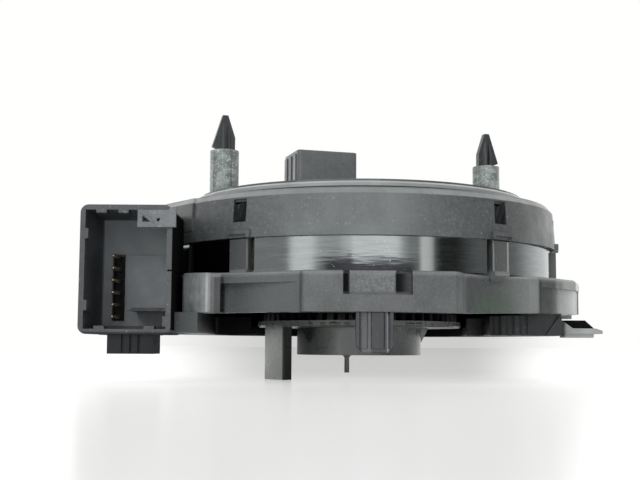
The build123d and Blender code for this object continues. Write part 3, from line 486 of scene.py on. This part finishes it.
# Painted shade in the two pockets beside the middle block.
pocket_shade = either(
    zone(0.9, x=(-6.2, -3.6, 0.2), **RIM_POCKET), zone(0.9, x=(5.4, 7.8, 0.2, 1.4), **RIM_POCKET))
# Painted green reflection low on the facet right of the middle.
painted_green_reflection = zone(0.75, x=(21, 30, 2, 4), z=(None, 8, 3))
# Painted highlight on the right facet.
right_facet_highlight = zone(0.8, x=(29.5, 36.3, 5.5, 0.5), y=(None, -14))
shaded_recess = zone(0.8, x=(36.3, 40.3, 0.3), y=(None, -14))
# Painted highlight on the rim's right end.
end_highlight = zone(0.7, x=(40.5, None), y=(-22, None, 1))
# Painted highlight along the rim's top lip.
lip_highlight = zone(0.5, z=(11.2, 12.6, 0.3))
# Painted shade in the hollow under the rim.
shade_under_rim = zone(r=(None, 41.2, 0.1), z=(None, 10.7, 0.2))
arm_faces = zone(0.75, z=(12.6, None, 0.2))
# Painted shade on the hooks under the cover.
hook_shade = zone(0.85, z=(22.4, None, 0.2), r=(44.6, None, 0.05))
# Painted highlights down the edges of the arms.
arm_edge_highlights = either(*(
    zone(0.8, x=(place - ARM_EDGE_HALF, place + ARM_EDGE_HALF, 0.1), y=(None, -30), z=(12.6, 20, 0.2, 0.3))
    for place in ARM_EDGE_PLACES))
# All the rim's painted shade, laid on as a dull near-black coat.
rim_painted_shade = either(shade_under_rim, pocket_shade, hook_shade, narrow_facet_shade)

# %% [markdown]
# ### Cover, rotor, tray and socket
# The cover's skirt has a painted highlight in front, painted shade on its right and a painted highlight
# along its edge above. On the rotor the flange's edge, the hub's middle and the outside of the tab carry
# painted highlights, and the hub's left side and the tab's side are in painted shade. The tray stands in the
# rim's shade, painted into its darker black and a dull coat, apart from its leg and fluted block, which keep
# a lit tone, and its lug, which has a painted highlight. In the socket the walls and the flank beside the
# drum are in painted shade, the back wall catches the light as a painted highlight, the slots round the
# terminals are black with painted shade, and the foot is darker.

# %% The other zones
HUB = {"r": (None, 19.4), "z": (None, 1.6, 0.1)}

# Painted highlight on the front of the skirt.
skirt_front_highlight = zone(0.6, x=(-19, 13, 11, 9), y=(None, 0))
# Painted shade on the skirt's right side.
skirt_right_shade = zone(0.35, x=(20, 33, 4, 3), y=(None, 0))
# Painted highlight along the edge above the skirt.
crown_edge_highlight = zone(0.6, z=(27.3, 28.3, 0.1), r=(43, None))
latch_shine = either(
    zone(0.30, x=(-1.1, 0.7, 0.2, 0.3), z=(None, 4, 1)), zone(x=(3.65, 4.15, 0.1), z=(None, 4, 1)))
# Painted highlight on the flange's rounded edge.
flange_edge_highlight = zone(0.8, r=(38.15, None, 0.1), z=(29.6, None, 0.1))
# Painted highlight on the outside of the tab.
tab_highlight = zone(0.9, r=(23.2, None, 0.2), z=(None, 1.5, 1), x=(None, -17.3, 0.2))
# Painted highlight down the middle of the hub.
hub_highlight = zone(0.8, x=(-9.5, 0, 1.5, 3), **HUB)
# Painted shade on the hub's left side and on the side of the tab.
hub_painted_shade = either(
    zone(0.75, x=(None, -10.5, 1.5), **HUB),
    zone(0.75, x=(-17.2, -14, 0.2, 0.5), y=(None, -14.5), z=(None, 1.6, 0.1)))
# Lit tone on the leg and the fluted block of the shaded tray.
lit_tray_leg = zone(0.9, x=(None, -33), y=(None, -30))
lit_tray_flutes = zone(0.5, x=(25, 45), r=(34, None))
# Painted highlight on the lug.
tray_lug_highlight = zone(0.95, x=(45.5, None), y=(None, -10))
tray_shade = either(zone(0.88, x=(-33, 25)), zone(0.88, x=(45.5, None), y=(-10, None)))
# Painted highlight on the socket's back wall, where it catches the light.
socket_back_highlight = zone(0.9, x=(-55.9, -40.2, 0.1), y=(-24.8, -23.2, 0.2, 0.1), z=(1.5, 24.6, 0.1))
# Painted shade on the inner walls of the socket's opening.
socket_wall_shade = zone(0.8, x=(None, -41), y=(-41.5, -25, 3, 0.3))
# Painted shade on the socket's flank, in the gap beside the drum.
socket_flank_shade = zone(x=(-38.3, None, 0.1), y=(-42, None, 0.2), z=(None, 24))
# The foot made darker.
socket_foot = zone(0.7, z=(None, 0, 0.2))
# Painted shade in the slots round the terminals.
pin_slot_shade = zone(0.85, x=(-53.2, -50.7, 0.1), y=(-24.8, None, 0.2), z=(2.6, 16.3, 0.2))
# Painted shade on the flank and in the slots, and the darker foot, laid on as a dull coat.
socket_hollows = either(socket_flank_shade, socket_foot, pin_slot_shade)

# %% [markdown]
# ## Moulded black plastic
# Most of the object is glass-filled black plastic. Its skin carries the fine spark-eroded grain of the
# mould, a faint greasy mottling where hands have held it, and a few pale specks of dust. All of them are
# noise, at different sizes: the grain tilts the surface and tints it a little, the mottling changes gloss
# and tone, and the specks are the highest peaks of a fine noise. Zones then blend in other colours, most of
# them painted highlights and painted shade, and smooth skin. A dull coat does the deepest painted shade,
# because a black colour alone would still shine.

# %% Moulded plastic
DUST = (0.34, 0.36, 0.36)
# The near black of the painted shade in hollows and gaps.
SHADE_BLACK = (0.008, 0.008, 0.009)
PATCH_LEVELS = (0.35, 0.68)
CLOUD_SIZE = 1.2 * MM
CLOUD_LEVELS = (0.36, 0.64)
SPECK_SIZE = 0.55 * MM
SPECK_LEVELS = (0.715, 0.76)
GRIT_LEVELS = (0.40, 0.60)
POLISHED_ROUGHNESS = 0.27


def moulded(name, dark, light, roughness, grain=0.45 * MM, grain_depth=0.02 * MM, dust=0.5,
            patch=9 * MM, gloss=0.85, smooth=None, deep=None, zones=()):
    """Grained plastic; masks give polished faces, painted shade as a dull coat, and zones of another colour.
    """
    finish = Finish(bpy.data.materials.new(name))
    patches = between(finish, speckle(finish, patch, 4, 0.6), *PATCH_LEVELS)
    cloud = between(finish, speckle(finish, CLOUD_SIZE, 4, 0.65), *CLOUD_LEVELS)
    specks = between(finish, speckle(finish, SPECK_SIZE, 1, 0.4), *SPECK_LEVELS)
    fine = speckle(finish, grain, 3, 0.65)
    grit = between(finish, fine, *GRIT_LEVELS)
    place = coordinates(finish)
    polished = smooth(finish, *place) if smooth else 0.0
    tone = (patches * 0.40 + cloud * 0.25 + grit * 0.35) * (1 - polished * 0.75)
    shade = tint(finish, tone, dark, light)
    for mask, colour in zones:
        # Zone colours: a few are wear, most are painted highlights and painted shade.
        wear_and_painted_light = mask(finish, *place) * (0.75 + patches * 0.25)
        shade = tint(finish, wear_and_painted_light, shade, colour)
    rough = roughness + cloud * 0.08 - patches * 0.10 + specks * 0.2
    finish.set(
        base_color=tint(finish, specks * dust * (1 - polished * 0.7), shade, DUST),
        roughness=rough - polished * (roughness - POLISHED_ROUGHNESS),
        specular_ior_level=gloss,
        normal=bumped(finish, fine * (1 - polished), grain_depth))
    # Painted shade: a dull near-black coat over the masked places.
    if deep:
        finish.cover(deep(finish, *place), SHADE_BLACK)
    return finish.owner


# %% Finishes of the stator
# The rim's zone colours are mostly painted highlights, a painted green reflection and painted shade; the
# middle block's scuffs are wear.
housing_finish = moulded(
    "moulded_black", (0.046, 0.051, 0.054), (0.105, 0.114, 0.117), roughness=0.46, dust=0.3,
    smooth=rim_polish, deep=rim_painted_shade, zones=(
        (left_facet_sheen_and_wear, (0.30, 0.32, 0.325)), (corner_highlight, (0.52, 0.54, 0.54)),
        (smooth_facet, (0.110, 0.120, 0.124)), (right_facet_highlight, (0.23, 0.247, 0.24)),
        (middle_block, (0.17, 0.185, 0.19)), (painted_green_reflection, (0.050, 0.086, 0.056)),
        (shaded_recess, (0.012, 0.013, 0.013)), (end_highlight, (0.36, 0.38, 0.37)),
        (lip_highlight, (0.20, 0.21, 0.21)), (arm_faces, (0.030, 0.033, 0.035)),
        (arm_edge_highlights, (0.42, 0.44, 0.44))))
smooth_finish = moulded(
    "smooth_black", (0.018, 0.020, 0.023), (0.040, 0.045, 0.049), roughness=0.24, grain=0.30 * MM,
    grain_depth=0.004 * MM, dust=0.3, gloss=0.5, zones=((latch_shine, (0.24, 0.26, 0.27)),))
# The skirt's zone colours are a painted highlight in front, painted shade on the right and a painted
# highlight on the edge above.
skirt_finish = moulded(
    "skirt_black", (0.044, 0.049, 0.052), (0.110, 0.120, 0.122), roughness=0.42, grain=0.55 * MM,
    grain_depth=0.030 * MM, dust=0.45, patch=6 * MM, zones=(
        (skirt_front_highlight, (0.135, 0.148, 0.152)), (skirt_right_shade, (0.020, 0.022, 0.024)),
        (crown_edge_highlight, (0.21, 0.225, 0.225))))
# Painted highlight on the socket's back wall and painted shade on its walls, flank and slots, and a darker
# foot.
socket_finish = moulded(
    "socket_black", (0.036, 0.040, 0.044), (0.078, 0.086, 0.091), roughness=0.48, grain=0.30 * MM,
    grain_depth=0.012 * MM, dust=0.6, gloss=0.7, deep=socket_hollows, zones=(
        (socket_back_highlight, (0.34, 0.37, 0.40)), (socket_wall_shade, (0.010, 0.012, 0.020))))
latch_finish = moulded(
    "latch_black", (0.07, 0.078, 0.086), (0.17, 0.184, 0.194), roughness=0.40, grain=0.30 * MM,
    grain_depth=0.012 * MM, dust=0.6)
# The tray's black is darker than the other black plastic: painted shade, as the tray stands in the rim's
# shadow.
shaded_tray_finish = moulded(
    "tray_black_shaded", (0.010, 0.011, 0.012), (0.022, 0.024, 0.026), roughness=0.36, grain=0.4 * MM,
    grain_depth=0.010 * MM, dust=0.3, gloss=0.30, deep=tray_shade, zones=(
        (lit_tray_leg, (0.095, 0.105, 0.11)), (lit_tray_flutes, (0.060, 0.067, 0.075)),
        (tray_lug_highlight, (0.46, 0.485, 0.48))))
print("materials so far:", len(bpy.data.materials))

# %% Finishes of the rotor
rotor_finish = moulded(
    "rotor_black", (0.090, 0.097, 0.100), (0.155, 0.166, 0.170), roughness=0.38, grain=0.35 * MM,
    grain_depth=0.010 * MM, dust=0.3, gloss=0.6)
# The flange's edge carries a painted highlight.
flange_finish = moulded(
    "flange_black", (0.050, 0.054, 0.055), (0.100, 0.107, 0.108), roughness=0.38, grain=0.35 * MM,
    grain_depth=0.010 * MM, dust=0.3, zones=((flange_edge_highlight, (0.42, 0.45, 0.45)),))
# Painted highlights on the tab's outside and the hub's middle, and painted shade on the hub's left side.
cam_finish = moulded(
    "cam_black", (0.115, 0.124, 0.127), (0.215, 0.230, 0.228), roughness=0.30, grain=0.35 * MM,
    grain_depth=0.008 * MM, dust=0.2, deep=hub_painted_shade, zones=(
        (tab_highlight, (0.66, 0.71, 0.66)), (hub_highlight, (0.27, 0.29, 0.29))))
tip_finish = moulded(
    "dart_black", (0.024, 0.028, 0.030), (0.045, 0.050, 0.052), roughness=0.36, grain=0.4 * MM,
    grain_depth=0.006 * MM, dust=0.2, gloss=0.45)
print("materials so far:", len(bpy.data.materials))

# %% [markdown]
# ## The polished drum
# Between rim and cover runs a smooth drum. The photograph shows it as dark as ink where it faces the walls
# and silver where it faces the window, with fine level scratches that break up the edges of the highlight.
# A dark metallic shader gives that contrast, and a noise squeezed flat along Z gives the scratches. Low on
# its front the drum is darker, with a ragged top edge, and beside that lie a dull upright bar painted darker
# in the reflection and a strip of painted highlight.

# %% Drum finish
DRUM_DARK, DRUM_LIGHT = (0.205, 0.22, 0.225), (0.245, 0.265, 0.265)
# Colour of the painted highlight strip on the drum.
DRUM_HIGHLIGHT = (0.60, 0.63, 0.62)
# Darker colour low on the drum's front.
DRUM_LOW_DARK = (0.022, 0.022, 0.027)
DRUM_DUST = (0.5, 0.5, 0.5)
DARK_BAND_TOP, DARK_BAND_BLUR = 14.2, 1.4
STREAK_HEIGHT = 5.0 * MM
HAZE_RISE = 0.8 * MM
SCRATCH_DEPTH = 0.013 * MM

# Spans of the drum's darker low band and of the patch where it rises higher.
haze_patch = zone(x=(-8.5, -3.0, 3.5, 0.6))
dark_band_span = zone(x=(-9.5, 9.5, 2.5, 1.5))
# Upright bar, duller and painted darker in the reflection.
dark_reflection_bar = zone(x=(7.8, 10.0, 0.8, 0.4))
# Painted highlight strip.
drum_highlight_strip = zone(x=(10.45, 13.1, 0.55, 0.5))


def drum_polish():
    """Dark polished metal, level scratches, darker low down, a dull bar painted dark, a painted highlight
    strip.
    """
    finish = Finish(bpy.data.materials.new("drum_polish"))
    x, y, z = coordinates(finish)
    fine_rings = speckle(finish, 1 * MM, 3, 0.6, (0.22, 0.22, 3.4))
    wide_rings = speckle(finish, 1 * MM, 2, 0.6, (0.03, 0.03, 0.9))
    rings = fine_rings * 0.75 + wide_rings * 0.25
    tone = between(finish, rings, 0.36, 0.66)
    haze, lengthwise, bar, highlight_strip = (
        mask(finish, x, y, z) for mask in (haze_patch, dark_band_span, dark_reflection_bar, drum_highlight_strip))
    streaked = z + (fine_rings - 0.5) * STREAK_HEIGHT - haze * HAZE_RISE
    low = short_of(finish, streaked, DARK_BAND_TOP, DARK_BAND_BLUR)
    # Darker low on the front with a ragged top, faintly darker above one end, plus the dull bar painted
    # darker in the reflection.
    darkening = low * lengthwise * 0.95 + haze * (1 - low) * 0.20 + bar * (1 - low * lengthwise) * 0.32
    dust = between(finish, speckle(finish, 0.35 * MM, 1, 0.4), 0.745, 0.78)
    # The strip is a painted highlight over the metal.
    clean = tint(finish, highlight_strip * 0.5, tint(finish, tone, DRUM_DARK, DRUM_LIGHT), DRUM_HIGHLIGHT)
    finish.set(
        base_color=tint(finish, dust * 0.6, tint(finish, darkening, clean, DRUM_LOW_DARK), DRUM_DUST),
        metallic=1.0,
        roughness=0.09 + tone * 0.05 + darkening * 0.15,
        normal=bumped(finish, rings, SCRATCH_DEPTH))
    return finish.owner


drum_finish = drum_polish()
print("nodes in the drum's finish:", len(drum_finish.node_tree.nodes))

# %% [markdown]
# ## Drive posts
# The sleeves of the posts are rubbed and frosted, with pale flecks packed close together, while the darts
# above them are the same smooth black as the rotor. Two noises do the frost, one for clouds and one for
# flecks, and both blend the same dark and pale grey.

# %% Post finish
SLEEVE_DARK, SLEEVE_PALE = (0.165, 0.192, 0.187), (0.72, 0.79, 0.77)


def frosted_sleeve():
    """Rubbed plastic with close pale flecks."""
    finish = Finish(bpy.data.materials.new("frosted_sleeve"))
    clouds = between(finish, speckle(finish, 2.2 * MM, 3, 0.6), 0.35, 0.65)
    flecks = between(finish, speckle(finish, 0.45 * MM, 2, 0.6), 0.56, 0.70)
    finish.set(
        base_color=tint(finish, clouds * 0.35 + flecks * 0.65, SLEEVE_DARK, SLEEVE_PALE),
        roughness=0.42 + flecks * 0.2,
        normal=bumped(finish, speckle(finish, 0.5 * MM, 3, 0.6), 0.03 * MM))
    return finish.owner


sleeve_finish = frosted_sleeve()
print("nodes in the sleeves' finish:", len(sleeve_finish.node_tree.nodes))

# %% [markdown]
# ## Small parts
# The pins are brass that has gone dull, the magnets are sintered, and the rest is board, film, cable and
# greasy black gears. Most of it is hidden, so two short recipes are enough: a metal with drawn streaks, and
# a resin with faint clouds.

# %% Metal, board and film finishes
def metal(name, colour, roughness):
    """Metal with faint drawn streaks."""
    finish = Finish(bpy.data.materials.new(name))
    drawn = speckle(finish, 0.5 * MM, 2, 0.5, (1, 0.1, 1))
    finish.set(
        base_color=tint(finish, drawn, tuple(c * 0.75 for c in colour), colour),
        metallic=1.0,
        roughness=roughness + drawn * 0.12)
    return finish.owner


def plain_resin(name, dark, light, roughness, lump=1.2 * MM, gloss=0.5):
    """Resin or grease, clouded between two colours."""
    finish = Finish(bpy.data.materials.new(name))
    cloud = speckle(finish, lump, 3, 0.6)
    finish.set(
        base_color=tint(finish, cloud, dark, light),
        roughness=roughness,
        specular_ior_level=gloss,
        normal=bumped(finish, speckle(finish, 0.3 * MM, 2, 0.5), 0.006 * MM))
    return finish.owner


pin_finish = metal("old_brass", (0.40, 0.33, 0.20), 0.30)
magnet_finish = metal("sintered_magnet", (0.40, 0.40, 0.41), 0.45)
board_finish = plain_resin("solder_mask", (0.015, 0.10, 0.035), (0.03, 0.17, 0.06), 0.35)
chip_finish = plain_resin("chip_black", (0.012, 0.012, 0.012), (0.03, 0.03, 0.03), 0.5)
film_finish = plain_resin("slip_film", (0.55, 0.56, 0.54), (0.68, 0.69, 0.66), 0.45)
cable_finish = plain_resin("cable_laminate", (0.60, 0.52, 0.36), (0.72, 0.66, 0.50), 0.4)
gear_finish = plain_resin(
    "greased_gear", (0.003, 0.003, 0.004), (0.014, 0.012, 0.016), 0.18, gloss=0.22)
grease_finish = plain_resin(
    "old_grease", (0.060, 0.052, 0.040), (0.220, 0.200, 0.160), 0.12, lump=0.5 * MM, gloss=0.9)
print("materials in all:", len(bpy.data.materials))

# %% [markdown]
# ## Soft edges
# CAD edges are perfectly sharp, and a sharp edge never catches light, which is what gives a computer model
# away. Moulded parts always have a small radius. The CAD meshes themselves stay as they are: each shell is
# copied, its loose triangles are merged and its flat faces joined, and a Bevel modifier rounds every edge
# steeper than a set angle. A second modifier weighs the normals by area, so that a flat face keeps a flat
# shine right up to its rounded edge. The copy then stands for the node.

# %% Hand tools
SMOOTH_UNDER = 32


def only(piece):
    """Selects one object and makes it the active one."""
    bpy.ops.object.select_all(action="DESELECT")
    piece.select_set(True)
    bpy.context.view_layer.objects.active = piece


def in_edit_mode(piece, *steps):
    """Runs the steps on the whole mesh in edit mode."""
    only(piece)
    bpy.ops.object.mode_set(mode="EDIT")
    bpy.ops.mesh.select_all(action="SELECT")
    for step in steps:
        step()
    bpy.ops.object.mode_set(mode="OBJECT")


def with_modifier(piece, kind, **settings):
    """Adds a modifier with its settings and applies it."""
    only(piece)
    modifier = piece.modifiers.new(kind.lower(), kind)
    for key, value in settings.items():
        setattr(modifier, key, value)
    bpy.ops.object.modifier_apply(modifier=modifier.name)


def smoothed(piece, angle=SMOOTH_UNDER):
    """Shades the piece smooth, apart from edges steeper than the angle in degrees."""
    only(piece)
    bpy.ops.object.shade_smooth_by_angle(angle=math.radians(angle))
    return piece


def painted(piece, material):
    """Gives the piece one material."""
    piece.data.materials.clear()
    piece.data.materials.append(material)
    return piece


# %% Copy and soften
MERGE_DISTANCE = 0.002 * MM
FLAT_WITHIN = math.radians(0.6)
ROUNDED_FROM = math.radians(34)


def copy_of(node):
    """A copy of a CAD node with whole faces, ready to be modelled on."""
    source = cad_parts[node]
    piece = source.copy()
    piece.data = source.data.copy()
    for key in list(piece.keys()):
        del piece[key]
    piece.parent = None
    piece.name = node + "_shell"
    bpy.context.scene.collection.objects.link(piece)
    piece.matrix_world = Matrix.Identity(4)
    in_edit_mode(
        piece,
        lambda: bpy.ops.mesh.remove_doubles(threshold=MERGE_DISTANCE),
        lambda: bpy.ops.mesh.dissolve_limited(angle_limit=FLAT_WITHIN))
    return piece


def softened(node, body, material, width):
    """Puts a copy of the node with rounded edges in its place."""
    piece = copy_of(node)
    with_modifier(
        piece, "BEVEL", width=width, segments=2, limit_method="ANGLE", angle_limit=ROUNDED_FROM,
        use_clamp_overlap=True, miter_outer="MITER_ARC")
    smoothed(piece)
    with_modifier(piece, "WEIGHTED_NORMAL", keep_sharp=True)
    painted(piece, material)
    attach(piece, body)
    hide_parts(node)
    print(node, "rounded,", len(piece.data.polygons), "faces")


# %% [markdown]
# ## The shells that show
# Thirteen moulded pieces make up the outside, counting each post's sleeve and dart apart. The rim has the
# widest radius, and small pieces such as the latch plate have a fine one. Each rides on the body that it
# belongs to, so the rotor's pieces turn with the rotor.

# %% Round the shells
softened("base_plate", "stator", housing_finish, 0.25 * MM)
softened("cover_ring", "stator", skirt_finish, 0.16 * MM)
softened("connector_housing", "stator", socket_finish, 0.18 * MM)
softened("socket_latch", "stator", latch_finish, 0.08 * MM)
softened("front_latch", "stator", smooth_finish, 0.2 * MM)
softened("sensor_cover", "stator", shaded_tray_finish, 0.15 * MM)
softened("rotor_flange", "rotor", flange_finish, 0.15 * MM)
softened("rotor_connector", "rotor", rotor_finish, 0.15 * MM)
softened("cam_ring", "rotor", cam_finish, 0.14 * MM)
for side in ("left", "right"):
    softened(f"post_sleeve_{side}", "rotor", sleeve_finish, 0.12 * MM)
    softened(f"post_tip_{side}", "rotor", tip_finish, 0.08 * MM)

# %% [markdown]
# ## The pieces that keep their own mesh
# The drum, the terminals, the gears and everything inside are right as they come from the frame. They only
# need a material and smooth shading.

# %% Paint them
PLAIN_NODES = {
    "cable_drum": drum_finish,
    "socket_terminals": pin_finish,
    "rotor_terminals": pin_finish,
    "terminal_block": socket_finish,
    "circuit_board": board_finish,
    "board_components": chip_finish,
    "lower_liner": film_finish,
    "upper_liner": film_finish,
    "spiral_cable": cable_finish,
    "outer_cable_block": socket_finish,
    "inner_cable_block": socket_finish,
    "sensor_gear": gear_finish,
    "pinion_a": gear_finish,
    "pinion_b": gear_finish,
    "magnet_a": magnet_finish,
    "magnet_b": magnet_finish,
}
for node, material in PLAIN_NODES.items():
    painted(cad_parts[node], material)
    smoothed(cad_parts[node])
print("nodes painted as they are:", len(PLAIN_NODES))

# %% [markdown]
# ## Grease round the gear
# The ring gear runs in grease, and years of turning have pushed some of it out onto the edge of the disc
# below, where it sits in glossy lumps. A lump starts as a small ball of triangles. Its points are shaken a
# little, a smoothing pass turns the shake into soft bulges, and it is flattened. One lump is modelled and
# then copied round the disc at uneven steps. It stays below the gear's teeth, so the pinions pass over it.

# %% Make the lumps
GREASE_AZIMUTHS = (
    -118, -111, -105.5, -103, -98, -91, -86, -66, -63.5, -59, -52, -49.5,
    -24, 12, 40, 57, 78, 101, 124, 148, 214)
GREASE_RADIUS = 1.0 * MM
GREASE_SINK = 0.75 * MM
GREASE_INSET = 0.3 * MM
GREASE_SIZES = (0.55, 1.05)
GREASE_SHAPE = (0.62, 1.25, 0.55)
random.seed(11)


def grease_lump(radius):
    """One soft, flattened lump round the origin."""
    bpy.ops.object.select_all(action="DESELECT")
    bpy.ops.mesh.primitive_ico_sphere_add(subdivisions=3, radius=radius)
    lump = bpy.context.object
    in_edit_mode(
        lump,
        lambda: bpy.ops.transform.vertex_random(offset=radius * 0.22, seed=4),
        lambda: bpy.ops.mesh.vertices_smooth(factor=0.6, repeat=3),
        lambda: bpy.ops.transform.resize(value=GREASE_SHAPE, center_override=(0, 0, 0)))
    return painted(smoothed(lump, 60), grease_finish)


def put_on_disc(lump, azimuth, edge, height):
    """Sets a lump on the disc's edge, half sunk into it."""
    turn = math.radians(azimuth)
    size = random.uniform(*GREASE_SIZES)
    move = Matrix.Translation((edge * math.cos(turn), edge * math.sin(turn), height))
    lump.data.transform(move @ Matrix.Rotation(turn, 4, "Z") @ Matrix.Scale(size, 4))


disc_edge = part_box("cam_ring")[1].x - GREASE_INSET
disc_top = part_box("sensor_gear")[0].z
lumps = [grease_lump(GREASE_RADIUS)]
while len(lumps) < len(GREASE_AZIMUTHS):
    twin = lumps[0].copy()
    twin.data = lumps[0].data.copy()
    bpy.context.scene.collection.objects.link(twin)
    lumps.append(twin)
for number, (lump, azimuth) in enumerate(zip(lumps, GREASE_AZIMUTHS), 1):
    lump.name = f"grease_lump_{number}"
    put_on_disc(lump, azimuth, disc_edge, disc_top - GREASE_SINK)
    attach(lump, "rotor")
print(len(lumps), "lumps of grease at radius", round(disc_edge / MM, 2))
